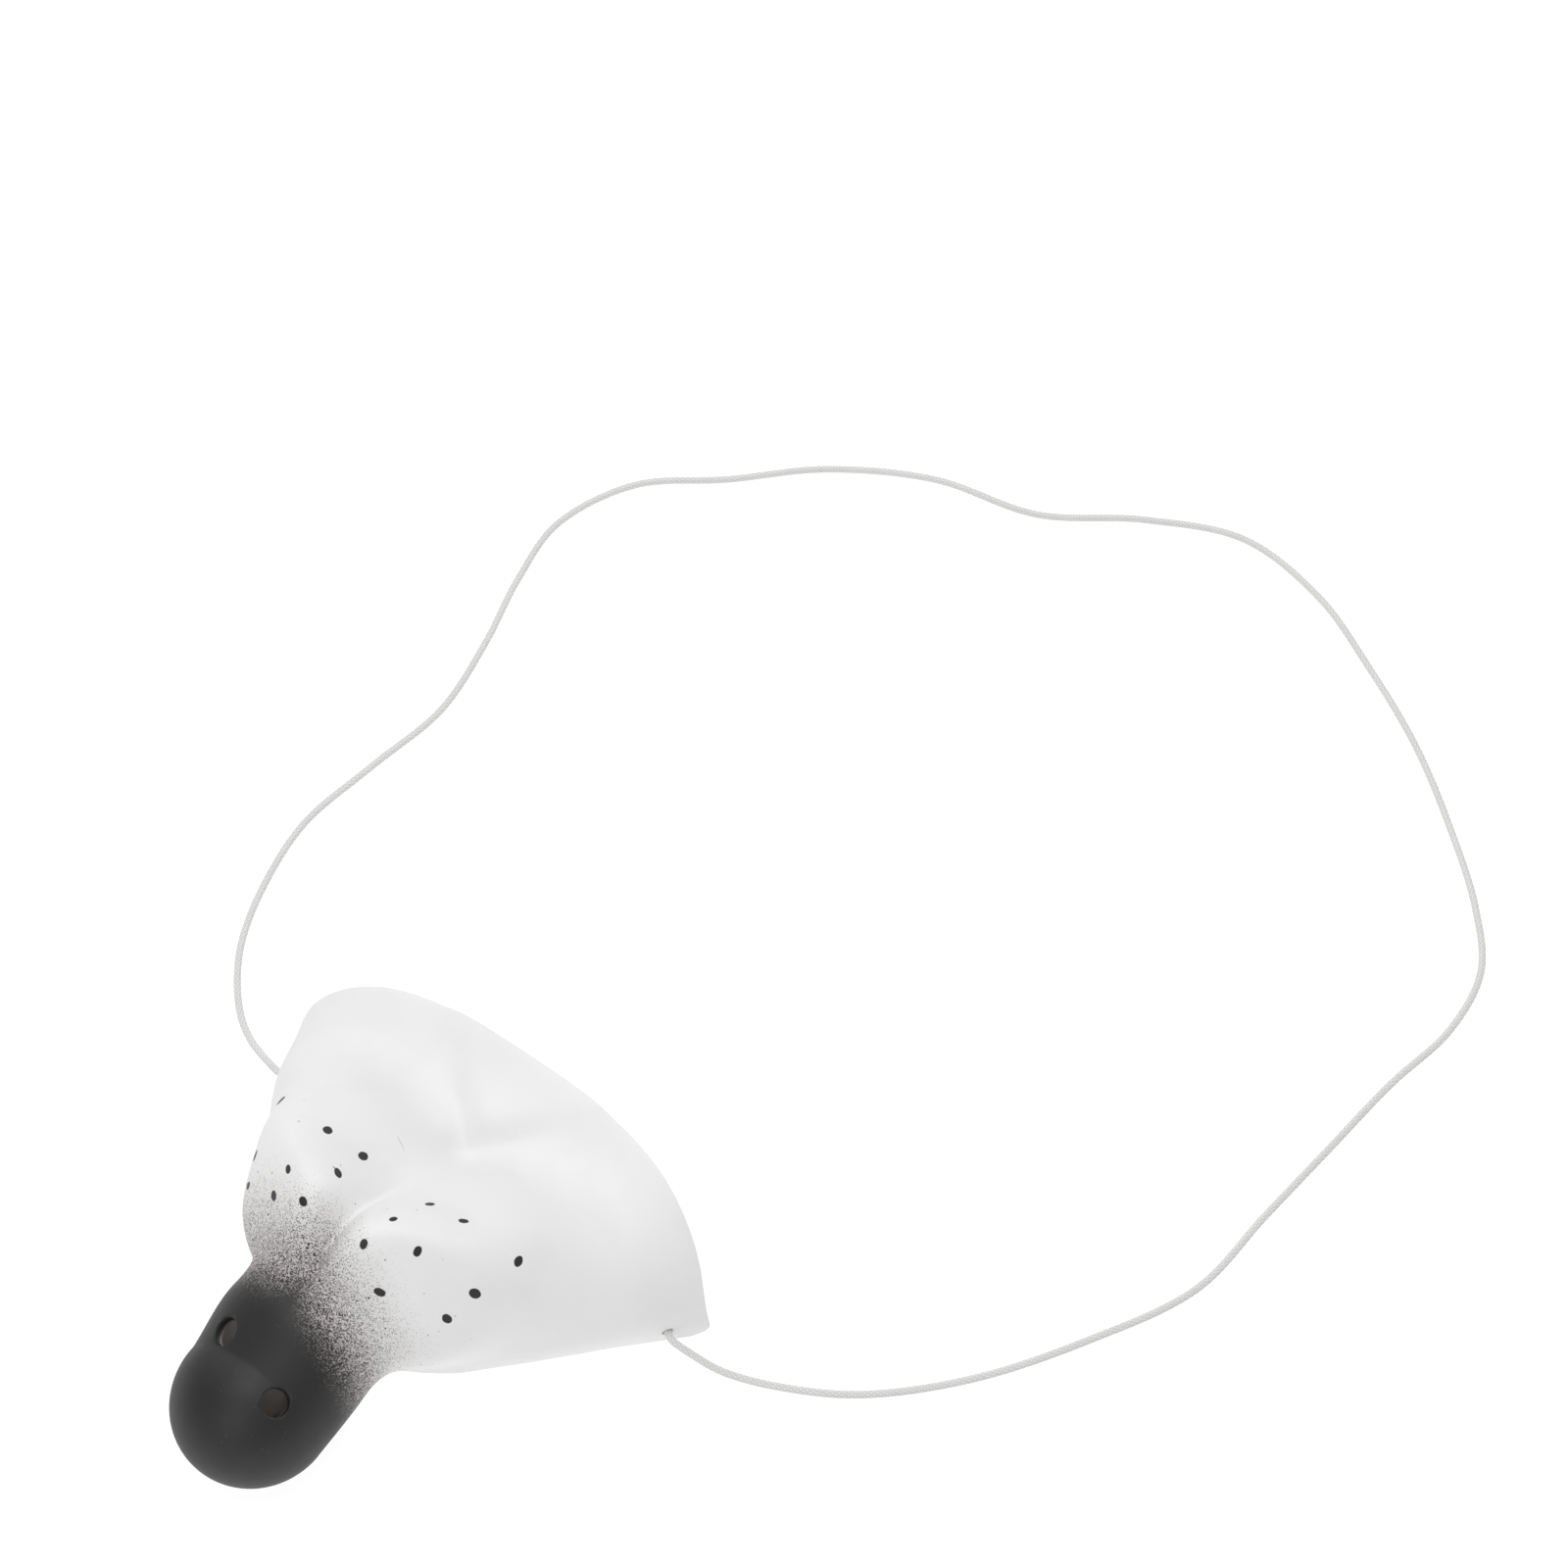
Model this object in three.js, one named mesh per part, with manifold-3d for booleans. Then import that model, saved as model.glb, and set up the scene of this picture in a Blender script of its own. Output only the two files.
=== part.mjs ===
// A fake mouse nose, worn on an elastic. One thin moulded shell makes the half-cone that covers the wearer's
// nose, two low whisker pads with a crease between them, a dent behind the pads, and a long hollow snout with
// two nostril holes. A round elastic goes through a small hole at each rear corner and is knotted inside.
// Millimetres, +Z up. The snout points along -Y, left is -X, and the part stands on z = 0 by itself.

import * as THREE from "three";
import { mergeVertices } from "three/addons/utils/BufferGeometryUtils.js";
import Module from "manifold-3d";

const wasm = await Module();
wasm.setup();

// Driving dimensions, in millimetres.
const MASK_LENGTH = 55; // from the rear corners to the front of the pads
const MASK_HALF_WIDTH = 52.7; // from the middle line to each rear corner
const MASK_HEIGHT = 50; // top of the half-cone, over the pads
const RIM_HEIGHT = 32.9; // middle of the rear rim
const RIM_SETBACK = 12; // how far the top of the rim lies behind the rear corners
const EDGE_TAPER = 0.97; // share of their half width that the lower edges lose over MASK_LENGTH
const WALL = 1.8;

const DENT_BACK = 9; // from the rear corners to the dent behind the pads
const DENT_DEPTH = 3.6;
const DENT_WIDTH = 4.2;
const VALLEY_DEPTH = 3.8; // where a side valley leaves the dent
const VALLEY_SPREAD = 1.1; // sideways run of each side valley for each millimetre back to the rim
const CREASE_DEPTH = 13.7;
const CREASE_WIDTH = 5.2;

const PAD_SPACING = 39; // between the middles of the two whisker pads
const PAD_HALF_WIDTH = 8.4;
const PAD_HALF_HEIGHT = 12;
const PAD_FRONT = 13.8; // from a pad's middle forward
const PAD_BACK = 12; // from a pad's middle back

const SNOUT_LENGTH = 30.2; // from the front of the pads to the tip
const SNOUT_RADIUS = 16;
const TIP_LENGTH = 15.8; // length of the snout's rounded end

const NOSTRIL_DIAMETER = 5.2;
const RIGHT_NOSTRIL_FROM_TIP = 13.9;
const LEFT_NOSTRIL_FROM_TIP = 18.7;
const RIGHT_NOSTRIL_TURN = 34; // degrees from the top of the snout
const LEFT_NOSTRIL_TURN = -30;

const CORD_DIAMETER = 1.5;
const CORD_CLEARANCE = 0.35; // round the cord in its hole
const CORD_HOLE_FORWARD = 6.8; // from the rear corner
const CORD_HOLE_HEIGHT = 4.1;
const KNOT_DIAMETER = 4.8;
const FACE_GAP = 0.5; // between a knot and what it meets

// The half-cone's sections, from behind the rear rim to the front of the pads. at is a share of MASK_LENGTH,
// width of MASK_HALF_WIDTH and height of MASK_HEIGHT.
const MASK_SECTIONS = [
  { at: -0.22, width: 1.046, height: 0.658 },
  { at: 0.036, width: 0.946, height: 0.579 },
  { at: 0.255, width: 0.851, height: 0.648 },
  { at: 0.473, width: 0.67, height: 0.75 },
  { at: 0.727, width: 0.335, height: 1.058 },
  { at: 1.0, width: 0.283, height: 1.192 },
];
const MASK_SQUARENESS = 3.04; // exponent of each section's corner
const END_SQUARENESS = 2.4; // exponent of the half-cone's front end
const END_FROM = 0.598; // share of MASK_LENGTH where the front end starts to close
const END_LENGTH = 0.421; // its length, as a share of MASK_LENGTH
const FLANK_HEIGHT = 14; // the sides reach their full width this far over the lower edges
const CLOSE_FROM = 0.65 * MASK_LENGTH; // where the lower edges start to turn in under the snout
const CLOSE_AT = 0.87 * MASK_LENGTH; // where they meet

// The snout's sections: at is a share of the way from its root, hidden in the half-cone, to the rounded end.
const SNOUT_SECTIONS = [
  { at: 0, middle: 0.56, radius: 0.44 },
  { at: 0.262, middle: 1.175, radius: 0.862 },
  { at: 0.617, middle: 1.24, radius: 1.0 },
  { at: 1, middle: 0.957, radius: 0.957 },
];
const SNOUT_ROOT = 0.673 * MASK_LENGTH;
const TIP_START = MASK_LENGTH + SNOUT_LENGTH - TIP_LENGTH;

// The mesh of the shell: stations along the body and columns round it.
const OPEN_STATIONS = 17;
const CLOSED_STATIONS = 10;
const TIP_STATIONS = 7;
const HALF_COLUMNS = 24;
const COLUMN_CROWDING = 1.3; // more columns near the crease
const RIM_FADE = 0.4 * MASK_LENGTH; // the rim's lean dies out over this length
const FAR = 2 * (MASK_LENGTH + MASK_HALF_WIDTH); // beyond the shell from anywhere inside it

const square = (v) => v * v;
const clamp = (v, low, high) => Math.min(Math.max(v, low), high);

// A smooth curve through the rows of a table: the value of one column at a place along it.
function through(places, values, place) {
  const last = places.length - 1;
  const here = clamp(place, places[0], places[last]);
  let i = 0;
  while (i < last - 1 && here > places[i + 1]) i++;
  const slope = (k) => {
    const a = Math.max(k - 1, 0);
    const b = Math.min(k + 1, last);
    return (values[b] - values[a]) / (places[b] - places[a]);
  };
  const width = places[i + 1] - places[i];
  const t = (here - places[i]) / width;
  const rise = t * t * (3 - 2 * t);
  return (
    values[i] * (1 - rise) +
    values[i + 1] * rise +
    width * t * (1 - t) * ((1 - t) * slope(i) - t * slope(i + 1))
  );
}

// The smaller of two distances, rounded where they are alike, as a moulded corner is.
function softMin(a, b, reach) {
  const near = Math.max(reach - Math.abs(a - b), 0) / reach;
  return Math.min(a, b) - near * near * reach * 0.25;
}

const maskPlaces = MASK_SECTIONS.map((row) => row.at * MASK_LENGTH);
const maskWidths = MASK_SECTIONS.map((row) => row.width * MASK_HALF_WIDTH);
const maskHeights = MASK_SECTIONS.map((row) => row.height * MASK_HEIGHT);
const snoutPlaces = SNOUT_SECTIONS.map((row) => SNOUT_ROOT + row.at * (TIP_START - SNOUT_ROOT));
const snoutMiddles = SNOUT_SECTIONS.map((row) => row.middle * SNOUT_RADIUS);
const snoutRadii = SNOUT_SECTIONS.map((row) => row.radius * SNOUT_RADIUS);
const snoutMiddle = (s) => through(snoutPlaces, snoutMiddles, s);

// Depth of the dent and of the two valleys that run from it back and out towards the rim and die out there.
const VALLEY_RUN = 1.24 * (DENT_BACK + RIM_SETBACK);
const VALLEY_REAR_WIDTH = 2.8; // steeper on the side of the bridge
const VALLEY_FRONT_WIDTH = 9.5;
const VALLEY_FADE = 0.95; // share of its depth that is lost on the way to the rim
function valleyDepth(side, s) {
  const length = Math.hypot(1, VALLEY_SPREAD);
  const along = clamp((side * VALLEY_SPREAD - (s - DENT_BACK)) / length, 0, 2 * VALLEY_RUN);
  const offSide = side - (along * VALLEY_SPREAD) / length;
  const offFore = s - DENT_BACK + along / length;
  const behind = (s - DENT_BACK) * VALLEY_SPREAD + side < 0;
  const far = clamp(along / VALLEY_RUN, 0, 1);
  const lost = VALLEY_FADE * far * far * (3 - 2 * far);
  const width = behind ? VALLEY_REAR_WIDTH : VALLEY_FRONT_WIDTH;
  const valley = VALLEY_DEPTH * (1 - lost) * Math.exp(-square(Math.hypot(offSide, offFore) / width));
  const dent = DENT_DEPTH * Math.exp(-square(Math.hypot(side, s - DENT_BACK) / DENT_WIDTH));
  return valley + dent;
}

// Depth of the crease between the pads, a sharp fold that starts behind them and ends at the snout.
const CREASE_MIDDLE = 0.81 * MASK_LENGTH;
const CREASE_REACH = 0.255 * MASK_LENGTH;
const CREASE_ROUNDING = 0.6;
function creaseDepth(side, s) {
  const across = Math.exp(-Math.hypot(side, CREASE_ROUNDING) / CREASE_WIDTH);
  return CREASE_DEPTH * across * Math.exp(-square((s - CREASE_MIDDLE) / CREASE_REACH));
}

// How far each lower edge lies from the middle line. They run straight, then turn in and meet.
function edgeHalfWidth(s) {
  const turned = clamp((s - CLOSE_FROM) / (CLOSE_AT - CLOSE_FROM), 0, 1);
  return MASK_HALF_WIDTH * (1 - (EDGE_TAPER * s) / MASK_LENGTH) * Math.sqrt(1 - square(turned));
}

// The two halves of the form run together smoothly over the middle line. Only the crease is sharp there.
const MIDDLE_ROUNDING = 2;
const roundedSide = (side) => Math.hypot(side, MIDDLE_ROUNDING);

// The half-cone: a rounded box section that narrows forward and closes at its front end.
function maskField(side, s, h) {
  const under = square(clamp(1 - h / FLANK_HEIGHT, 0, 1));
  const full = through(maskPlaces, maskWidths, s);
  const width = Math.max(full + (edgeHalfWidth(s) - full) * under, WALL);
  const sunk = valleyDepth(roundedSide(side), s) + creaseDepth(side, s);
  const height = Math.max(through(maskPlaces, maskHeights, s) - sunk, WALL * 2);
  const section = (side / width) ** MASK_SQUARENESS + (Math.max(h, 0) / height) ** MASK_SQUARENESS;
  const end = Math.max(s - END_FROM * MASK_LENGTH, 0) / (END_LENGTH * MASK_LENGTH);
  const shape = section ** (END_SQUARENESS / MASK_SQUARENESS) + end ** END_SQUARENESS;
  return (shape ** (1 / END_SQUARENESS) - 1) * Math.min(width, height);
}

// One whisker pad: an egg set into the side of the half-cone.
const PAD_PLACE = 0.57 * MASK_LENGTH;
const PAD_MIDDLE = 0.495 * MASK_HEIGHT;
const CREASE_ON_PAD = 0.8;
function padField(side, s, h) {
  const along = (s - PAD_PLACE) / (s < PAD_PLACE ? PAD_BACK : PAD_FRONT);
  const across = (roundedSide(side) - PAD_SPACING / 2) / PAD_HALF_WIDTH;
  const up = (h - PAD_MIDDLE) / PAD_HALF_HEIGHT;
  const least = Math.min(PAD_HALF_WIDTH, PAD_FRONT, PAD_BACK, PAD_HALF_HEIGHT);
  return (Math.hypot(along, across, up) - 1) * least + CREASE_ON_PAD * creaseDepth(side, s);
}

function snoutField(side, s, h) {
  const radius = through(snoutPlaces, snoutRadii, s);
  const beyond = Math.max(s - TIP_START, 0) / TIP_LENGTH;
  return (Math.hypot(side / radius, (h - snoutMiddle(s)) / radius, beyond) - 1) * radius;
}

// The outside of the whole form: below zero inside it. s runs forward from the rear corners, h up.
const PAD_BLEND = 14.8;
const SNOUT_BLEND = 2.7;
function form(x, s, h) {
  const side = Math.abs(x);
  const muzzle = softMin(maskField(side, s, h), padField(side, s, h), PAD_BLEND);
  return softMin(muzzle, snoutField(side, s, h), SNOUT_BLEND);
}

// The same form where it ends on the floor that the part stands on.
const FLOOR_TOUCH = 0.001;
const onFloor = (x, s, h) => Math.max(form(x, s, h), -h - FLOOR_TOUCH);

// The form's outward direction at a point of its skin.
const PROBE = 0.05;
function outward(x, s, h, field = form) {
  return new THREE.Vector3(
    field(x + PROBE, s, h) - field(x - PROBE, s, h),
    field(x, s + PROBE, h) - field(x, s - PROBE, h),
    field(x, s, h + PROBE) - field(x, s, h - PROBE),
  ).normalize();
}

// The point of the skin on a path that runs outwards from inside the form.
const HALVINGS = 44;
function skinOn(path) {
  let inside = 0;
  let outside = FAR;
  for (let turn = 0; turn < HALVINGS; turn++) {
    const middle = (inside + outside) / 2;
    const at = path(middle);
    if (onFloor(at.x, at.y, at.z) < 0) inside = middle;
    else outside = middle;
  }
  const at = path(inside);
  return new THREE.Vector3(at.x, at.y, Math.max(at.z, 0));
}

// Each station is a fan of paths from one point inside. It says where that point is, how far round the fan
// reaches on each side, how much of the rim's lean it has and how far its paths point forward.
function stations() {
  const rows = [];
  for (let i = 0; i < OPEN_STATIONS; i++) {
    const t = i / OPEN_STATIONS;
    const place = CLOSE_AT * (0.5 * t + 0.5 * Math.sin((t * Math.PI) / 2));
    const part = clamp((place - CLOSE_FROM) / (CLOSE_AT - CLOSE_FROM), 0, 1);
    const closing = 1 - Math.sqrt(1 - part * part);
    const lean = square(clamp(1 - place / RIM_FADE, 0, 1));
    const height = closing * snoutMiddle(place);
    const reach = Math.PI - Math.atan2(edgeHalfWidth(place), height);
    rows.push({ place, height, closing, reach, lean, forward: 0 });
  }
  for (let i = 0; i <= CLOSED_STATIONS; i++) {
    const place = CLOSE_AT + ((TIP_START - CLOSE_AT) * i) / CLOSED_STATIONS;
    rows.push({ place, height: snoutMiddle(place), closing: 1, reach: Math.PI, lean: 0, forward: 0 });
  }
  for (let i = 1; i < TIP_STATIONS; i++) {
    const forward = (i / TIP_STATIONS) * (Math.PI / 2);
    const height = snoutMiddle(TIP_START);
    rows.push({ place: TIP_START, height, closing: 1, reach: Math.PI, lean: 0, forward });
  }
  return rows;
}

const LEAN_POWER = 2.5; // the rim is upright at the corners and sets back towards its top
const setback = (h) => RIM_SETBACK * (Math.max(h, 0) / RIM_HEIGHT) ** LEAN_POWER;

function fanPath(station, angle) {
  const { place, height, lean, forward } = station;
  const level = Math.cos(forward);
  return (r) => {
    const h = height + r * Math.cos(angle) * level;
    const s = place + r * Math.sin(forward) - lean * setback(h);
    return { x: r * Math.sin(angle) * level, y: s, z: h };
  };
}

// The wall's inner point behind an outer one. Along the open lower edge the wall ends flat on the floor.
function innerPoint(outer, station, atEdge) {
  const normal = outward(outer.x, outer.y, outer.z, station.closing > 0 ? onFloor : form);
  if (atEdge) normal.setZ(normal.z * station.closing).normalize();
  return outer.clone().addScaledVector(normal, -WALL);
}

// The shell as a closed mesh: the outer skin, the inner skin, and the strip that joins them along the rim and
// the lower edges. The edges meet under the snout, and past there each station is a closed ring.
function shellGeometry() {
  const fans = stations();
  const columns = 2 * HALF_COLUMNS;
  const positions = [];
  const keep = (p) => positions.push(p.x, -p.y, p.z) / 3 - 1;
  const outer = [];
  const inner = [];
  for (const station of fans) {
    const ring = station.closing === 1;
    const outerRow = [];
    const innerRow = [];
    for (let j = 0; j <= columns; j++) {
      if (ring && j === columns) {
        outerRow.push(outerRow[0]);
        innerRow.push(innerRow[0]);
        continue;
      }
      const part = j / HALF_COLUMNS - 1;
      const angle = Math.sign(part) * Math.abs(part) ** COLUMN_CROWDING * station.reach;
      const point = skinOn(fanPath(station, angle));
      outerRow.push(keep(point));
      innerRow.push(keep(innerPoint(point, station, !ring && (j === 0 || j === columns))));
    }
    outer.push(outerRow);
    inner.push(innerRow);
  }
  const tip = new THREE.Vector3(0, TIP_START + TIP_LENGTH, snoutMiddle(TIP_START));
  const outerTip = keep(tip);
  const innerTip = keep(tip.clone().setY(tip.y - WALL));

  const faces = [];
  const vertex = (i) => new THREE.Vector3(...positions.slice(3 * i, 3 * i + 3));
  const quad = (a, b, c, d) => {
    // a and b lie on one side, c and d on the other, and the shorter diagonal splits the four
    if (vertex(a).distanceTo(vertex(d)) < vertex(b).distanceTo(vertex(c))) faces.push([a, b, d], [a, d, c]);
    else faces.push([a, b, c], [b, d, c]);
  };
  for (let i = 0; i + 1 < fans.length; i++)
    for (let j = 0; j < columns; j++) {
      quad(outer[i][j], outer[i + 1][j], outer[i][j + 1], outer[i + 1][j + 1]);
      quad(inner[i][j], inner[i][j + 1], inner[i + 1][j], inner[i + 1][j + 1]);
    }
  const end = fans.length - 1;
  for (let j = 0; j < columns; j++) {
    faces.push([outer[end][j], outerTip, outer[end][j + 1]]);
    faces.push([inner[end][j], inner[end][j + 1], innerTip]);
    quad(outer[0][j], outer[0][j + 1], inner[0][j], inner[0][j + 1]);
  }
  for (let i = 0; i < OPEN_STATIONS; i++) {
    quad(outer[i][columns], outer[i + 1][columns], inner[i][columns], inner[i + 1][columns]);
    quad(outer[i][0], inner[i][0], outer[i + 1][0], inner[i + 1][0]);
  }
  const geometry = new THREE.BufferGeometry();
  geometry.setAttribute("position", new THREE.Float32BufferAttribute(positions, 3));
  geometry.setIndex(faces.flat());
  return geometry;
}

// A closed geometry as a solid that can be cut, and back.
const MERGE_WITHIN = 1e-4;
function solidOf(geometry) {
  const bare = geometry.clone();
  bare.deleteAttribute("normal");
  bare.deleteAttribute("uv");
  const merged = mergeVertices(bare, MERGE_WITHIN);
  const vertProperties = merged.attributes.position.array;
  const triVerts = new Uint32Array(merged.index.array);
  return new wasm.Manifold(new wasm.Mesh({ numProp: 3, vertProperties, triVerts }));
}
function geometryOf(solid) {
  const mesh = solid.getMesh();
  const geometry = new THREE.BufferGeometry();
  geometry.setAttribute("position", new THREE.BufferAttribute(new Float32Array(mesh.vertProperties), 3));
  geometry.setIndex(new THREE.BufferAttribute(new Uint32Array(mesh.triVerts), 1));
  geometry.computeVertexNormals();
  return geometry;
}

// A place on the skin in the part's frame, with its outward direction.
function spotAt(point) {
  const normal = outward(point.x, point.y, point.z);
  return {
    point: new THREE.Vector3(point.x, -point.y, point.z),
    normal: new THREE.Vector3(normal.x, -normal.y, normal.z),
  };
}
function nostrilSpot(fromTip, turn) {
  const place = TIP_START + TIP_LENGTH - fromTip;
  const station = { place, height: snoutMiddle(place), lean: 0, forward: 0 };
  return spotAt(skinOn(fanPath(station, THREE.MathUtils.degToRad(turn))));
}
function cordHoleSpot(side) {
  const path = (r) => ({ x: side * r, y: CORD_HOLE_FORWARD, z: CORD_HOLE_HEIGHT });
  return spotAt(skinOn(path));
}

// Turns a geometry so that its own axis lies along a direction.
function aim(geometry, axis, direction) {
  geometry.applyQuaternion(new THREE.Quaternion().setFromUnitVectors(axis, direction));
}

// A round cutter through the wall at a spot, square to the skin.
const CUT_SIDES = 16;
function holeCutter(spot, diameter) {
  const depth = 4 * WALL;
  const geometry = new THREE.CylinderGeometry(diameter / 2, diameter / 2, depth, CUT_SIDES);
  aim(geometry, new THREE.Vector3(0, 1, 0), spot.normal);
  geometry.translate(...spot.point);
  return solidOf(geometry);
}

const nostrils = [
  nostrilSpot(RIGHT_NOSTRIL_FROM_TIP, RIGHT_NOSTRIL_TURN),
  nostrilSpot(LEFT_NOSTRIL_FROM_TIP, LEFT_NOSTRIL_TURN),
];
const cordHoles = { left: cordHoleSpot(-1), right: cordHoleSpot(1) };

let shell = solidOf(shellGeometry());
for (const spot of nostrils) shell = shell.subtract(holeCutter(spot, NOSTRIL_DIAMETER));
for (const spot of Object.values(cordHoles))
  shell = shell.subtract(holeCutter(spot, CORD_DIAMETER + 2 * CORD_CLEARANCE));
const muzzleGeometry = geometryOf(shell);

// The frame's origin is under the middle of the shell.
muzzleGeometry.computeBoundingBox();
const MIDDLE_Y = (muzzleGeometry.boundingBox.min.y + muzzleGeometry.boundingBox.max.y) / 2;
muzzleGeometry.translate(0, -MIDDLE_Y, 0);
for (const spot of Object.values(cordHoles)) spot.point.y -= MIDDLE_Y;

// The elastic: out of the left hole, over the table in one loose loop, and back in at the right hole. The
// route is its middle line on the table, from left to right.
const CORD_REST = CORD_DIAMETER / 2 + 0.1; // height of its middle where it lies on the table
const CORD_LEAD = 0.5; // straight out of each hole
const CORD_BEND = 3.4; // radius of the bend that follows
const BEND_STEPS = 4;
const CORD_DOWN = 0.8; // it is down on the table after this share of the way to the route
const CORD_ROUTE = [
  [-60.5, 32.2],
  [-65.5, 35],
  [-71.5, 40.5],
  [-77.5, 48.5],
  [-83, 61],
  [-87, 78.5],
  [-85.5, 98],
  [-83.5, 118],
  [-87.5, 137.5],
  [-93, 155],
  [-96, 172.5],
  [-89.5, 191],
  [-74.5, 204.5],
  [-59, 220],
  [-38.5, 232],
  [-15, 237.5],
  [4.5, 250.5],
  [24.5, 259],
  [46, 255.5],
  [65, 246],
  [84, 234.5],
  [101, 221],
  [115.5, 207.5],
  [125, 194.5],
  [127.5, 179],
  [125, 161],
  [123.5, 141],
  [122, 121],
  [120.5, 99.5],
  [110.5, 78],
  [97.5, 57.5],
  [82.5, 42],
  [68.5, 33.8],
  [60.5, 30.8],
];
const CORD_SECTIONS = 3; // from each point of the route to the next
const CORD_SIDES = 8;

// The points at one end: from the inner face of the wall out through the hole, round a bend towards the route,
// and down to the table on the way there.
function cordEnd(spot, firstOnTable) {
  const landing = new THREE.Vector3(firstOnTable[0], firstOnTable[1], CORD_REST);
  const through = [-WALL, -WALL / 2, 0, CORD_LEAD];
  const points = through.map((out) => spot.point.clone().addScaledVector(spot.normal, out));
  const at = points[points.length - 1].clone();
  const heading = Math.atan2(spot.normal.y, spot.normal.x);
  const turn = heading - Math.atan2(landing.y - at.y, landing.x - at.x);
  const step = -Math.atan2(Math.sin(turn), Math.cos(turn)) / BEND_STEPS;
  const chord = 2 * CORD_BEND * Math.sin(Math.abs(step) / 2);
  for (let i = 0; i < BEND_STEPS; i++) {
    const along = heading + (i + 0.5) * step;
    at.x += chord * Math.cos(along);
    at.y += chord * Math.sin(along);
    points.push(at.clone());
  }
  points.push(at.clone().lerp(landing, 1 / 3), at.clone().lerp(landing, 2 / 3));
  const top = at.z;
  const whole = Math.hypot(landing.x - spot.point.x, landing.y - spot.point.y);
  for (const point of points.slice(through.length)) {
    const gone = Math.hypot(point.x - spot.point.x, point.y - spot.point.y) / whole;
    point.z = top - (top - CORD_REST) * THREE.MathUtils.smoothstep(gone, 0, CORD_DOWN);
  }
  return points;
}

// The sections of the tube lie at the route's own points, so they are close together in the bends at its ends.
class CordCurve extends THREE.CatmullRomCurve3 {
  getUtoTmapping(share) {
    return share;
  }
}

const onTable = CORD_ROUTE.map(([x, y]) => new THREE.Vector3(x, y, CORD_REST));
const cordCurve = new CordCurve([
  ...cordEnd(cordHoles.left, CORD_ROUTE[0]),
  ...onTable,
  ...cordEnd(cordHoles.right, CORD_ROUTE[CORD_ROUTE.length - 1]).reverse(),
]);

const cordSection = new THREE.Shape();
for (let side = 0; side < CORD_SIDES; side++) {
  const angle = (2 * Math.PI * side) / CORD_SIDES;
  const corner = [(CORD_DIAMETER / 2) * Math.cos(angle), (CORD_DIAMETER / 2) * Math.sin(angle)];
  if (side === 0) cordSection.moveTo(...corner);
  else cordSection.lineTo(...corner);
}
cordSection.closePath();

// One overhand knot, drawn up tight, with its cord running through its middle.
const KNOT_STRAND = 0.34 * CORD_DIAMETER; // half the thickness of its drawn-up strand
const KNOT_REACH = 1.5; // its strand's middle line reaches this many loop radii out
const KNOT_LOOP = (KNOT_DIAMETER / 2 - KNOT_STRAND) / KNOT_REACH;
const KNOT_STEPS = 48;
const KNOT_SIDES = 6;
function knotGeometry(spot) {
  const geometry = new THREE.TorusKnotGeometry(KNOT_LOOP, KNOT_STRAND, KNOT_STEPS, KNOT_SIDES);
  const halfThickness = KNOT_LOOP / 2 + KNOT_STRAND;
  const middle = spot.point.clone().addScaledVector(spot.normal, -(WALL + FACE_GAP + halfThickness));
  aim(geometry, new THREE.Vector3(0, 0, 1), spot.normal);
  geometry.translate(...middle);
  return geometry;
}

const shellMaterial = new THREE.MeshStandardMaterial({ color: 0xececea, roughness: 0.55, metalness: 0 });
const elasticMaterial = new THREE.MeshStandardMaterial({ color: 0xf0f0ee, roughness: 0.9, metalness: 0 });

const nose = new THREE.Group();
function addPiece(name, geometry, material) {
  const mesh = new THREE.Mesh(geometry, material);
  mesh.name = name;
  nose.add(mesh);
}

addPiece("muzzle_shell", muzzleGeometry, shellMaterial);
const cordSteps = CORD_SECTIONS * (cordCurve.points.length - 1);
const cordTube = { steps: cordSteps, bevelEnabled: false, extrudePath: cordCurve };
addPiece("elastic_cord", new THREE.ExtrudeGeometry(cordSection, cordTube), elasticMaterial);
addPiece("knot_left", knotGeometry(cordHoles.left), elasticMaterial);
addPiece("knot_right", knotGeometry(cordHoles.right), elasticMaterial);

export default nose;
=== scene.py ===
# %% [markdown]
# # A fake mouse nose
#
# One thin moulded shell that is worn over the nose, with a sprayed black snout, hand-painted whisker
# dots and a thin braided elastic that goes round the head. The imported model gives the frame: everything
# here is in metres, in the same place as its solids.

# %% The frame
import math

import bmesh
import bpy
import numpy as np
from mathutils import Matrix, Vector


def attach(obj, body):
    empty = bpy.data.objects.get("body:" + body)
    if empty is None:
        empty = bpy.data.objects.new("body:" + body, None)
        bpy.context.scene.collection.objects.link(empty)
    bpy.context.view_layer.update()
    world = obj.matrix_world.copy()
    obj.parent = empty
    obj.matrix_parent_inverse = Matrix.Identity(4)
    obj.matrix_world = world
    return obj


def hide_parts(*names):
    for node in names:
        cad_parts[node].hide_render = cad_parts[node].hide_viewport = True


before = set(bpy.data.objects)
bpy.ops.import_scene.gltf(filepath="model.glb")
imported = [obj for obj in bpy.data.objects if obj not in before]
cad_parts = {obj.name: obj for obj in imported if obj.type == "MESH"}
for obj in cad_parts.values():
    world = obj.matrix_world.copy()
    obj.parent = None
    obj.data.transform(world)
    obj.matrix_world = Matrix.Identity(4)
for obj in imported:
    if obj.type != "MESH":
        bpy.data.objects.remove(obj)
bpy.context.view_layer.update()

MM = 0.001
print("solids:", ", ".join(sorted(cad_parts)))

# %% [markdown]
# ## The camera
#
# The nose was photographed from above and a little from its own left, with a long lens. The camera is
# placed by the three things a photographer sets: the point it looks at, how far away it stands, and from
# what side and height. It goes in first, because the elastic is laid out in its view.

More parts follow.
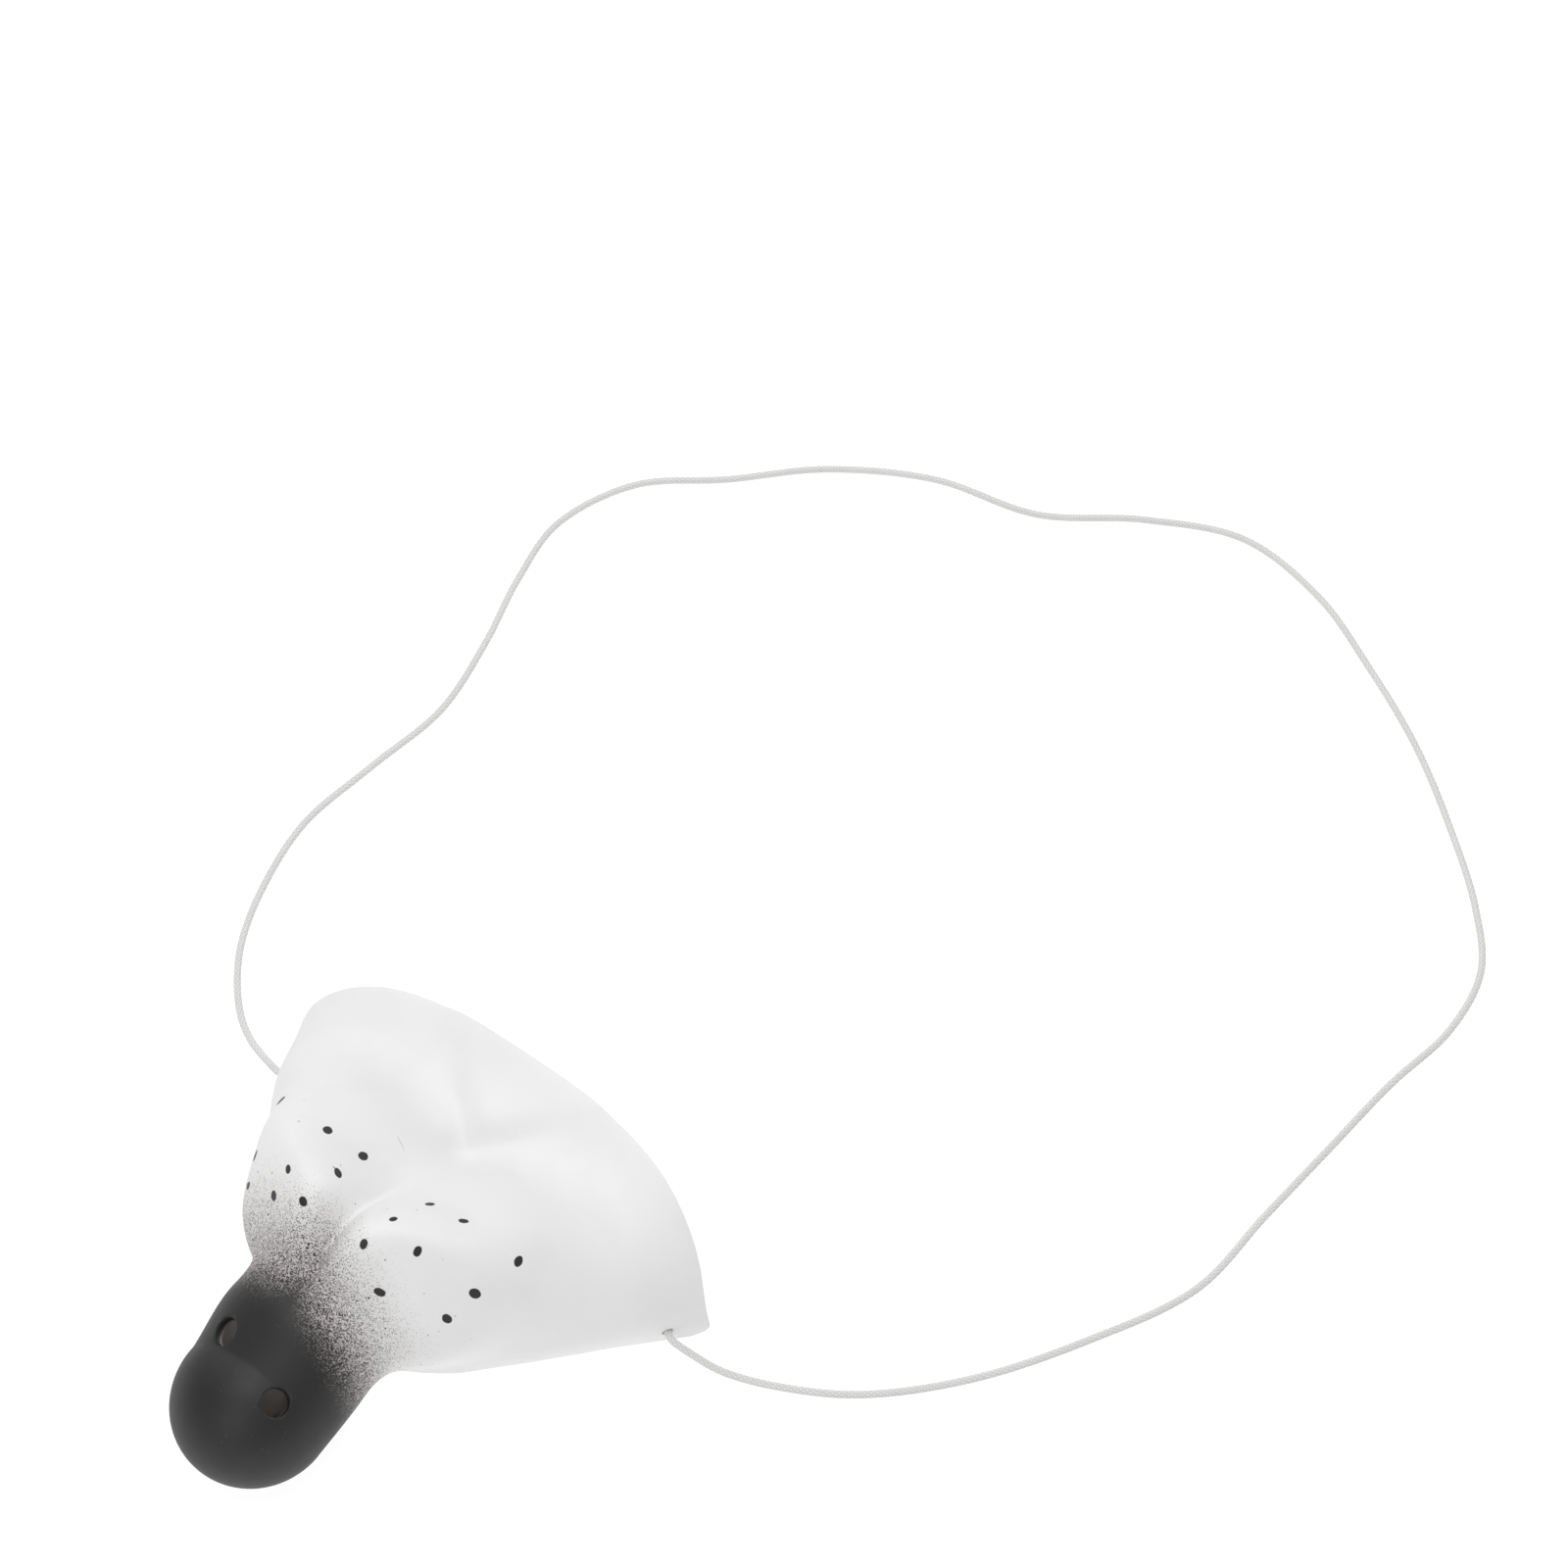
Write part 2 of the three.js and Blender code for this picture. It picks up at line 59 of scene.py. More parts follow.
# %% The camera
AIM = Vector((-15, 147.1, 0)) * MM  # on the table, inside the loop of the elastic
DISTANCE = 0.9
AZIMUTH = math.radians(37.4)
ELEVATION = math.radians(53.9)
SENSOR = 36
PHOTO_PIXELS = 1600  # the photo's width
FOCAL_PIXELS = 4425  # the lens's focal length in the same pixels
LENS = SENSOR * FOCAL_PIXELS / PHOTO_PIXELS

back = Vector((
    math.sin(AZIMUTH) * math.cos(ELEVATION),
    -math.cos(AZIMUTH) * math.cos(ELEVATION),
    math.sin(ELEVATION),
))
camera_data = bpy.data.cameras.new("camera")
camera_data.sensor_width = SENSOR
camera_data.lens = LENS
camera = bpy.data.objects.new("camera", camera_data)
camera.location = AIM + DISTANCE * back
camera.rotation_euler = back.to_track_quat("Z", "Y").to_euler()
bpy.context.scene.collection.objects.link(camera)
bpy.context.scene.camera = camera
print(f"camera {DISTANCE:.2f} m away, {LENS:.1f} mm lens")

# %% [markdown]
# ## The form of the shell
#
# The shell is one smooth sheet, so it is easier to describe as a solid form than as patches. Each part
# of the form is a formula that is below zero inside it: a rounded half-cone, an egg in each side for the
# whisker pad, and a round snout. A soft minimum joins them with a fillet, as the mould does. These are
# the formulas and the sizes of the solid model, in millimetres, with s forward from the rear corners and
# h up.

# %% Sizes
MASK_LENGTH = 55
MASK_HALF_WIDTH = 52.7
MASK_HEIGHT = 50
RIM_HEIGHT = 32.9
RIM_SETBACK = 12
EDGE_TAPER = 0.97
WALL = 1.8

DENT_BACK = 9
DENT_DEPTH = 3.6
DENT_WIDTH = 4.2
VALLEY_DEPTH = 3.8
VALLEY_SPREAD = 1.1
CREASE_DEPTH = 13.7
CREASE_WIDTH = 5.2

PAD_SPACING = 39
PAD_HALF_WIDTH = 8.4
PAD_HALF_HEIGHT = 12
PAD_FRONT = 13.8
PAD_BACK = 12

SNOUT_LENGTH = 30.2
SNOUT_RADIUS = 16
TIP_LENGTH = 15.8

# at, width and height of each section of the half-cone, as shares of its length, half width and height
MASK_SECTIONS = (
    (-0.22, 1.046, 0.658),
    (0.036, 0.946, 0.579),
    (0.255, 0.851, 0.648),
    (0.473, 0.67, 0.75),
    (0.727, 0.335, 1.058),
    (1.0, 0.283, 1.192),
)
# at, middle and radius of each section of the snout
SNOUT_SECTIONS = ((0, 0.56, 0.44), (0.262, 1.175, 0.862), (0.617, 1.24, 1.0), (1, 0.957, 0.957))
SNOUT_ROOT = 0.673 * MASK_LENGTH
TIP_START = MASK_LENGTH + SNOUT_LENGTH - TIP_LENGTH
CLOSE_FROM = 0.65 * MASK_LENGTH  # where the lower edges start to turn in under the snout
CLOSE_AT = 0.87 * MASK_LENGTH  # where they meet
MIDDLE_S = 36.37  # the frame's origin lies this far forward of the rear corners
FLOOR_SLACK = 0.001  # a point this close to the table still counts as above it
PROBE = 0.05  # step for finding which way the skin faces
HALVINGS = 44

# %% Curves through tables, and the soft minimum


def through(places, values, place):
    """A smooth curve through (places, values), read at place."""
    slopes = np.empty(len(values))
    slopes[1:-1] = (values[2:] - values[:-2]) / (places[2:] - places[:-2])
    slopes[0] = (values[1] - values[0]) / (places[1] - places[0])
    slopes[-1] = (values[-1] - values[-2]) / (places[-1] - places[-2])
    here = np.clip(place, places[0], places[-1])
    i = np.clip(np.searchsorted(places, here, side="right") - 1, 0, len(places) - 2)
    width = places[i + 1] - places[i]
    t = (here - places[i]) / width
    rise = t * t * (3 - 2 * t)
    bend = width * t * (1 - t) * ((1 - t) * slopes[i] - t * slopes[i + 1])
    return values[i] * (1 - rise) + values[i + 1] * rise + bend


def soft_min(a, b, reach):
    near = np.clip(reach - np.abs(a - b), 0, None) / reach
    return np.minimum(a, b) - near * near * reach * 0.25


mask_sizes = [[MASK_LENGTH], [MASK_HALF_WIDTH], [MASK_HEIGHT]]
mask_at, mask_width, mask_height = np.array(MASK_SECTIONS).T * mask_sizes
snout_at, snout_mid, snout_radius = np.array(SNOUT_SECTIONS).T * [[1], [SNOUT_RADIUS], [SNOUT_RADIUS]]
snout_at = SNOUT_ROOT + snout_at * (TIP_START - SNOUT_ROOT)


def snout_middle(s):
    return through(snout_at, snout_mid, s)


# %% The dent, its valleys and the crease
VALLEY_RUN = 1.24 * (DENT_BACK + RIM_SETBACK)
VALLEY_REAR_WIDTH = 2.8
VALLEY_FRONT_WIDTH = 9.5
VALLEY_FADE = 0.95
CREASE_MIDDLE = 0.81 * MASK_LENGTH
CREASE_REACH = 0.255 * MASK_LENGTH
CREASE_ROUNDING = 0.6
MIDDLE_ROUNDING = 2


def rounded_side(side):
    """The distance from the middle line, rounded over it, so that the two halves run together."""
    return np.hypot(side, MIDDLE_ROUNDING)


def valley_depth(side, s):
    length = math.hypot(1, VALLEY_SPREAD)
    along = np.clip((side * VALLEY_SPREAD - (s - DENT_BACK)) / length, 0, 2 * VALLEY_RUN)
    off = np.hypot(side - along * VALLEY_SPREAD / length, s - DENT_BACK + along / length)
    behind = (s - DENT_BACK) * VALLEY_SPREAD + side < 0
    far = np.clip(along / VALLEY_RUN, 0, 1)
    lost = VALLEY_FADE * far * far * (3 - 2 * far)
    width = np.where(behind, VALLEY_REAR_WIDTH, VALLEY_FRONT_WIDTH)
    valley = VALLEY_DEPTH * (1 - lost) * np.exp(-((off / width) ** 2))
    dent = DENT_DEPTH * np.exp(-((np.hypot(side, s - DENT_BACK) / DENT_WIDTH) ** 2))
    return valley + dent


def crease_depth(side, s):
    across = np.exp(-np.hypot(side, CREASE_ROUNDING) / CREASE_WIDTH)
    return CREASE_DEPTH * across * np.exp(-(((s - CREASE_MIDDLE) / CREASE_REACH) ** 2))


# %% The half-cone, the pads and the snout
MASK_SQUARENESS = 3.04
END_SQUARENESS = 2.4
END_FROM = 0.598
END_LENGTH = 0.421
FLANK_HEIGHT = 14
PAD_PLACE = 0.57 * MASK_LENGTH
PAD_MIDDLE = 0.495 * MASK_HEIGHT
CREASE_ON_PAD = 0.8
PAD_BLEND = 14.8
SNOUT_BLEND = 2.7


def edge_half_width(s):
    """How far each lower edge lies from the middle line. They run straight, then turn in and meet."""
    turned = np.clip((s - CLOSE_FROM) / (CLOSE_AT - CLOSE_FROM), 0, 1)
    return MASK_HALF_WIDTH * (1 - EDGE_TAPER * s / MASK_LENGTH) * np.sqrt(1 - turned**2)


def mask_field(side, s, h):
    under = np.clip(1 - h / FLANK_HEIGHT, 0, 1) ** 2
    full = through(mask_at, mask_width, s)
    width = np.clip(full + (edge_half_width(s) - full) * under, WALL, None)
    sunk = valley_depth(rounded_side(side), s) + crease_depth(side, s)
    height = np.clip(through(mask_at, mask_height, s) - sunk, WALL * 2, None)
    section = (side / width) ** MASK_SQUARENESS + (np.clip(h, 0, None) / height) ** MASK_SQUARENESS
    end = np.clip(s - END_FROM * MASK_LENGTH, 0, None) / (END_LENGTH * MASK_LENGTH)
    shape = section ** (END_SQUARENESS / MASK_SQUARENESS) + end**END_SQUARENESS
    return (shape ** (1 / END_SQUARENESS) - 1) * np.minimum(width, height)


def pad_field(side, s, h):
    along = (s - PAD_PLACE) / np.where(s < PAD_PLACE, PAD_BACK, PAD_FRONT)
    across = (rounded_side(side) - PAD_SPACING / 2) / PAD_HALF_WIDTH
    up = (h - PAD_MIDDLE) / PAD_HALF_HEIGHT
    least = min(PAD_HALF_WIDTH, PAD_FRONT, PAD_BACK, PAD_HALF_HEIGHT)
    return (np.sqrt(along**2 + across**2 + up**2) - 1) * least + CREASE_ON_PAD * crease_depth(side, s)


def snout_field(side, s, h):
    radius = through(snout_at, snout_radius, s)
    beyond = np.clip(s - TIP_START, 0, None) / TIP_LENGTH
    return (np.sqrt((side / radius) ** 2 + ((h - snout_middle(s)) / radius) ** 2 + beyond**2) - 1) * radius


def form(p):
    """The signed form at points p, whose last axis is x, s, h."""
    x, s, h = np.moveaxis(p, -1, 0)
    side = np.abs(x)
    muzzle = soft_min(mask_field(side, s, h), pad_field(side, s, h), PAD_BLEND)
    return soft_min(muzzle, snout_field(side, s, h), SNOUT_BLEND)


def on_floor(p):
    """The same form where it ends on the table."""
    return np.maximum(form(p), -p[..., 2] - FLOOR_SLACK)


def outward(p, field=form):
    """The form's outward direction at p."""
    steps = np.eye(3) * PROBE
    slope = np.stack([field(p + step) - field(p - step) for step in steps], axis=-1)
    return slope / np.linalg.norm(slope, axis=-1, keepdims=True)


# %% [markdown]
# ## The skin
#
# A fan of straight paths goes out from a point inside the form at each station along it, and each path
# is halved again and again until it ends on the skin. Open stations make an arch that stands on the
# table, closed ones a ring round the snout, and the last ones run to its tip. This keeps the rows of the
# mesh along the real edges: the rear rim and the two lower edges.

# %% Stations
OPEN_STATIONS = 84
CLOSED_STATIONS = 44
TIP_STATIONS = 26
HALF_COLUMNS = 124
COLUMN_CROWDING = 1.3
RIM_FADE = 0.4 * MASK_LENGTH
LEAN_POWER = 2.5
FOOT_ROUNDING = 3
FAR = 2 * (MASK_LENGTH + MASK_HALF_WIDTH)


def stations():
    """Rows: place, height of the fan's point, how closed, reach, the rim's lean, the forward angle."""
    rows = []
    for i in range(OPEN_STATIONS):
        t = i / OPEN_STATIONS
        place = CLOSE_AT * (0.5 * t + 0.5 * math.sin(t * math.pi / 2))
        part = min(max((place - CLOSE_FROM) / (CLOSE_AT - CLOSE_FROM), 0), 1)
        closing = 1 - math.sqrt(1 - part * part)
        lean = min(max(1 - place / RIM_FADE, 0), 1) ** 2
        height = closing * float(snout_middle(place))
        reach = math.pi - math.atan2(float(edge_half_width(place)), height)
        rows.append((place, height, closing, reach, lean, 0))
    for i in range(CLOSED_STATIONS + 1):
        place = CLOSE_AT + (TIP_START - CLOSE_AT) * i / CLOSED_STATIONS
        rows.append((place, float(snout_middle(place)), 1, math.pi, 0, 0))
    for i in range(1, TIP_STATIONS):
        forward = i / TIP_STATIONS * math.pi / 2
        rows.append((TIP_START, float(snout_middle(TIP_START)), 1, math.pi, 0, forward))
    return np.array(rows)


def skin():
    """Points of the outer skin, one row for each station, and the direction the wall goes in from each."""
    place, height, closing, reach, lean, forward = (column[:, None] for column in stations().T)
    part = np.linspace(-1, 1, 2 * HALF_COLUMNS + 1)
    angle = np.sign(part) * np.abs(part) ** COLUMN_CROWDING * reach
    level = np.cos(forward)

    def path(r):
        h = height + r * np.cos(angle) * level
        setback = RIM_SETBACK * (np.clip(h, 0, None) / RIM_HEIGHT) ** LEAN_POWER
        low = np.clip(1 - h / FOOT_ROUNDING, 0, 1)
        foot = FOOT_ROUNDING * low**3 * (place < CLOSE_FROM)
        forward_by = r * np.sin(forward) - lean * (setback - foot)
        return np.stack([r * np.sin(angle) * level, place + forward_by, h], axis=-1)

    inside = np.zeros_like(angle)
    outside = np.full_like(angle, FAR)
    for _ in range(HALVINGS):
        middle = (inside + outside) / 2
        within = on_floor(path(middle)) < 0
        inside = np.where(within, middle, inside)
        outside = np.where(within, outside, middle)
    points = path(inside)
    points[..., 2] = np.clip(points[..., 2], 0, None)
    normals = np.where((closing > 0)[..., None], outward(points, on_floor), outward(points))
    for edge in (0, -1):  # along the open lower edge the wall ends flat on the table
        normals[:, edge, 2] *= closing[:, 0]
    normals /= np.linalg.norm(normals, axis=-1, keepdims=True)
    return points, normals


outer, normals = skin()
inner = outer - WALL * normals
print("skin:", outer.shape[0], "stations of", outer.shape[1], "points")

# %% The shell as a mesh


def to_frame(points):
    """From x, s, h in millimetres to the frame's metres."""
    points = np.asarray(points, float)
    return np.stack([points[..., 0], MIDDLE_S - points[..., 1], points[..., 2]], axis=-1) * MM


def shell_mesh(name):
    rows, columns = outer.shape[:2]
    tip = np.array([0, TIP_START + TIP_LENGTH, float(snout_middle(TIP_START))])
    flat = np.concatenate([outer.reshape(-1, 3), inner.reshape(-1, 3), [tip, tip - (0, WALL, 0)]])
    index = np.arange(rows * columns).reshape(rows, columns)
    index[OPEN_STATIONS:, -1] = index[OPEN_STATIONS:, 0]
    inside = index + rows * columns
    outer_tip, inner_tip = 2 * rows * columns, 2 * rows * columns + 1

    faces = []
    for i in range(rows - 1):
        for j in range(columns - 1):
            faces.append((index[i, j], index[i + 1, j], index[i + 1, j + 1], index[i, j + 1]))
            faces.append((inside[i, j], inside[i, j + 1], inside[i + 1, j + 1], inside[i + 1, j]))
    for j in range(columns - 1):
        faces.append((index[-1, j], outer_tip, index[-1, j + 1]))
        faces.append((inside[-1, j], inside[-1, j + 1], inner_tip))
        faces.append((index[0, j], index[0, j + 1], inside[0, j + 1], inside[0, j]))
    for i in range(OPEN_STATIONS):
        faces.append((index[i, -1], index[i + 1, -1], inside[i + 1, -1], inside[i, -1]))
        faces.append((index[i, 0], inside[i, 0], inside[i + 1, 0], index[i + 1, 0]))
    mesh = bpy.data.meshes.new(name)
    mesh.from_pydata(to_frame(flat).tolist(), [], [tuple(int(v) for v in face) for face in faces])
    work = bmesh.new()
    work.from_mesh(mesh)
    loose = [v for v in work.verts if not v.link_faces]
    bmesh.ops.delete(work, geom=loose, context="VERTS")
    work.to_mesh(mesh)
    work.free()
    mesh.update()
    return mesh


EDGE_ROUNDING = 0.55
EDGE_SEGMENTS = 3
SHARPEST_SMOOTH = 50  # degrees

muzzle = bpy.data.objects.new("muzzle", shell_mesh("muzzle"))
bpy.context.scene.collection.objects.link(muzzle)
soft_edge = muzzle.modifiers.new("soft edge", "BEVEL")
soft_edge.width = EDGE_ROUNDING * MM
soft_edge.segments = EDGE_SEGMENTS
soft_edge.limit_method = "ANGLE"
soft_edge.angle_limit = math.radians(SHARPEST_SMOOTH)
print("muzzle:", len(muzzle.data.polygons), "faces")

# %% [markdown]
# ## Holes through the wall
#
# Two nostrils are punched through the snout by hand, so they are not quite level, and a small hole near
# each rear corner takes the elastic. Each is cut by a turned plug: a profile spun round the hole's own
# axis, a little wider at the outside, so that the edge of the hole comes out rounded.

# %% Places on the skin
NOSTRIL_DIAMETER = 5.2
NOSTRIL_EDGE = 0.55
CORD_HOLE_EDGE = 0.15
NOSTRILS = (("right", 13.9, 34), ("left", 18.7, -30))  # distance from the tip, and degrees from the top
CORD_DIAMETER = 1.5
CORD_CLEARANCE = 0.35
CORD_HOLE_FORWARD = 6.8
CORD_HOLE_HEIGHT = 4.1


def spot(start, direction):
    """Where a straight path from inside meets the skin, and the outward direction there, in the frame."""
    start, direction = np.array(start, float), np.array(direction, float)
    low, high = 0, FAR
    for _ in range(HALVINGS):
        middle = (low + high) / 2
        if form(start + middle * direction) < 0:
            low = middle
        else:
            high = middle
    point = start + low * direction
    normal = outward(point) * (1, -1, 1)
    return Vector(to_frame(point)), Vector(normal).normalized()


def nostril_spot(from_tip, turn):
    place = TIP_START + TIP_LENGTH - from_tip
    turn = math.radians(turn)
    return spot((0, place, float(snout_middle(place))), (math.sin(turn), 0, math.cos(turn)))


nostril_spots = [nostril_spot(from_tip, turn) for _, from_tip, turn in NOSTRILS]
cord_spots = {
    "left": spot((0, CORD_HOLE_FORWARD, CORD_HOLE_HEIGHT), (-1, 0, 0)),
    "right": spot((0, CORD_HOLE_FORWARD, CORD_HOLE_HEIGHT), (1, 0, 0)),
}

# %% Plugs that cut the holes
HOLE_SIDES = 48
EDGE_STEPS = 4
PLUG_DEPTH = 7


def plug(name, place, normal, diameter, round_edge):
    """A spun plug whose radius grows towards the outside over round_edge millimetres."""
    radius = diameter / 2
    profile = [(0, -PLUG_DEPTH), (radius, -PLUG_DEPTH), (radius, -2 * round_edge)]
    for step in range(1, EDGE_STEPS + 1):
        turn = step / EDGE_STEPS * math.pi / 2
        wider = round_edge * (1 - math.cos(turn))
        profile.append((radius + wider, -2 * round_edge + 2 * round_edge * math.sin(turn)))
    widest = radius + 2 * round_edge
    profile += [(widest, round_edge), (widest, PLUG_DEPTH), (0, PLUG_DEPTH)]
    work = bmesh.new()
    verts = [work.verts.new((r * MM, 0, d * MM)) for r, d in profile]
    edges = [work.edges.new(pair) for pair in zip(verts, verts[1:])]
    bmesh.ops.spin(
        work,
        geom=verts + edges,
        cent=(0, 0, 0),
        axis=(0, 0, 1),
        angle=2 * math.pi,
        steps=HOLE_SIDES,
    )
    bmesh.ops.remove_doubles(work, verts=work.verts, dist=1e-7)
    bmesh.ops.recalc_face_normals(work, faces=work.faces)
    work.transform(normal.to_track_quat("Z", "Y").to_matrix().to_4x4())
    bmesh.ops.translate(work, verts=work.verts, vec=place)
    mesh = bpy.data.meshes.new(name)
    work.to_mesh(mesh)
    work.free()
    cutter = bpy.data.objects.new(name, mesh)
    bpy.context.scene.collection.objects.link(cutter)
    return cutter


def evaluated_mesh(piece):
    """The piece with its modifiers applied, as a plain mesh."""
    graph = bpy.context.evaluated_depsgraph_get()
    return bpy.data.meshes.new_from_object(piece.evaluated_get(graph), depsgraph=graph)


CORD_HOLE = CORD_DIAMETER + 2 * CORD_CLEARANCE
cutters = []
for i, where in enumerate(nostril_spots):
    cutters.append(plug(f"nostril_{i}", *where, NOSTRIL_DIAMETER, NOSTRIL_EDGE))
for side, where in cord_spots.items():
    cutters.append(plug(f"cord_hole_{side}", *where, CORD_HOLE, CORD_HOLE_EDGE))
for cutter in cutters:
    cut = muzzle.modifiers.new(cutter.name, "BOOLEAN")
    cut.operation = "DIFFERENCE"
    cut.solver = "EXACT"
    cut.object = cutter
cut_mesh = evaluated_mesh(muzzle)
muzzle.modifiers.clear()
muzzle.data = cut_mesh
for cutter in cutters:
    bpy.data.objects.remove(cutter)
muzzle.data.shade_smooth()
print("muzzle with its holes:", len(muzzle.data.polygons), "faces")

# %% [markdown]
# ## The elastic
#
# A thin round elastic: a rubber core in a braided cover. It lies as one loose loop on the table, with an
# overhand knot inside each hole. Its route is a short list of points, drawn through with a smooth curve.

# %% Route
ROUTE = (
    (-60.5, 32.2),
    (-65.5, 35),
    (-71.5, 40.5),
    (-77.5, 48.5),
    (-83, 61),
    (-87, 78.5),
    (-85.5, 98),
    (-83.5, 118),
    (-87.5, 137.5),
    (-93, 155),
    (-96, 172.5),
    (-89.5, 191),
    (-74.5, 204.5),
    (-59, 220),
    (-38.5, 232),
    (-15, 237.5),
    (4.5, 250.5),
    (24.5, 259),
    (46, 255.5),
    (65, 246),
    (84, 234.5),
    (101, 221),
    (115.5, 207.5),
    (125, 194.5),
    (127.5, 179),
    (125, 161),
    (123.5, 141),
    (122, 121),
    (120.5, 99.5),
    (110.5, 78),
    (97.5, 57.5),
    (82.5, 42),
    (68.5, 33.8),
    (60.5, 30.8),
)
CORD_REST = CORD_DIAMETER / 2 + 0.1
CORD_LEAD = 0.5  # straight out of each hole
CORD_BEND = 3.4  # radius of the bend that follows
BEND_STEPS = 4
CORD_DOWN = 0.8  # it is down on the table after this share of the way to the route
CORD_INSIDE = 1.2  # how far it goes past the wall, into the knot
CORD_STEP = 0.3  # between the rings of its mesh
SPAN_STEPS = 60  # fine steps from point to point, before they are evened out


def smooth_path(points, step):
    """Points a fixed step apart on a centripetal Catmull-Rom curve."""
    points = np.asarray(points, float)
    points = np.concatenate([[2 * points[0] - points[1]], points, [2 * points[-1] - points[-2]]])
    fine = []
    for a, b, c, d in zip(points, points[1:], points[2:], points[3:]):
        gaps = [math.sqrt(np.linalg.norm(q - p)) for p, q in ((a, b), (b, c), (c, d))]
        start = (b - a) / gaps[0] - (c - a) / (gaps[0] + gaps[1]) + (c - b) / gaps[1]
        end = (c - b) / gaps[1] - (d - b) / (gaps[1] + gaps[2]) + (d - c) / gaps[2]
        t = np.linspace(0, 1, SPAN_STEPS, endpoint=False)[:, None]
        left = 2 * t**3 - 3 * t**2 + 1
        leaving = (t**3 - 2 * t**2 + t) * start * gaps[1]
        coming = (t**3 - t**2) * end * gaps[1]
        fine.append(left * b + leaving + (1 - left) * c + coming)
    fine = np.concatenate([*fine, points[-2:-1]])
    run = np.concatenate([[0], np.cumsum(np.linalg.norm(np.diff(fine, axis=0), axis=1))])
    at = np.linspace(0, run[-1], max(round(run[-1] / step), 2) + 1)
    return np.stack([np.interp(at, run, fine[:, axis]) for axis in range(3)], axis=1)


def cord_end(side, first_on_table):
    """From the knot out through the hole, round a bend, and down to the table on the way to the route."""
    place, normal = (np.array(v) for v in cord_spots[side])
    place = place / MM
    landing = np.array([*first_on_table, CORD_REST])
    outs = (-WALL - CORD_INSIDE, -WALL / 2, 0, CORD_LEAD)
    through_wall = [place + out * normal for out in outs]
    at = through_wall[-1].copy()
    heading = math.atan2(normal[1], normal[0])
    turn = heading - math.atan2(landing[1] - at[1], landing[0] - at[0])
    step = -math.atan2(math.sin(turn), math.cos(turn)) / BEND_STEPS
    chord = 2 * CORD_BEND * math.sin(abs(step) / 2)
    bend = []
    for i in range(BEND_STEPS):
        along = heading + (i + 0.5) * step
        at = at + chord * np.array([math.cos(along), math.sin(along), 0])
        bend.append(at)
    bend += [at + (landing - at) / 3, at + (landing - at) * 2 / 3]
    top = through_wall[-1][2]
    whole = np.linalg.norm(landing[:2] - place[:2])
    for point in bend:
        gone = min(np.linalg.norm(point[:2] - place[:2]) / whole / CORD_DOWN, 1)
        point[2] = top - (top - CORD_REST) * gone * gone * (3 - 2 * gone)
    return through_wall + bend


route = [
    *cord_end("left", ROUTE[0]),
    *[(x, y, CORD_REST) for x, y in ROUTE],
    *cord_end("right", ROUTE[-1])[::-1],
]
centreline = smooth_path(route, CORD_STEP) * MM

# %% [markdown]
# The braid is made by Geometry Nodes, because it follows a path: the tree sweeps a circle along any
# curve and lifts each crossing of the yarns a little. Two families of yarns wind round the tube in
# opposite directions, and where both are at their middle there is a bump.

# %% Braid tree
STITCH = 1.2
RELIEF = 0.05
YARNS = 6
CORD_SIDES = 18


def node(tree, kind, inputs=(), **settings):
    """Adds a node, applies its settings, then sets or links its inputs by name or number."""
    made = tree.nodes.new(kind)
    for key, value in settings.items():
        setattr(made, key, value)
    for key, value in dict(inputs).items():
        socket = made.inputs[key]
        if isinstance(value, bpy.types.NodeSocket):
            tree.links.new(value, socket)
        else:
            socket.default_value = value
    return made


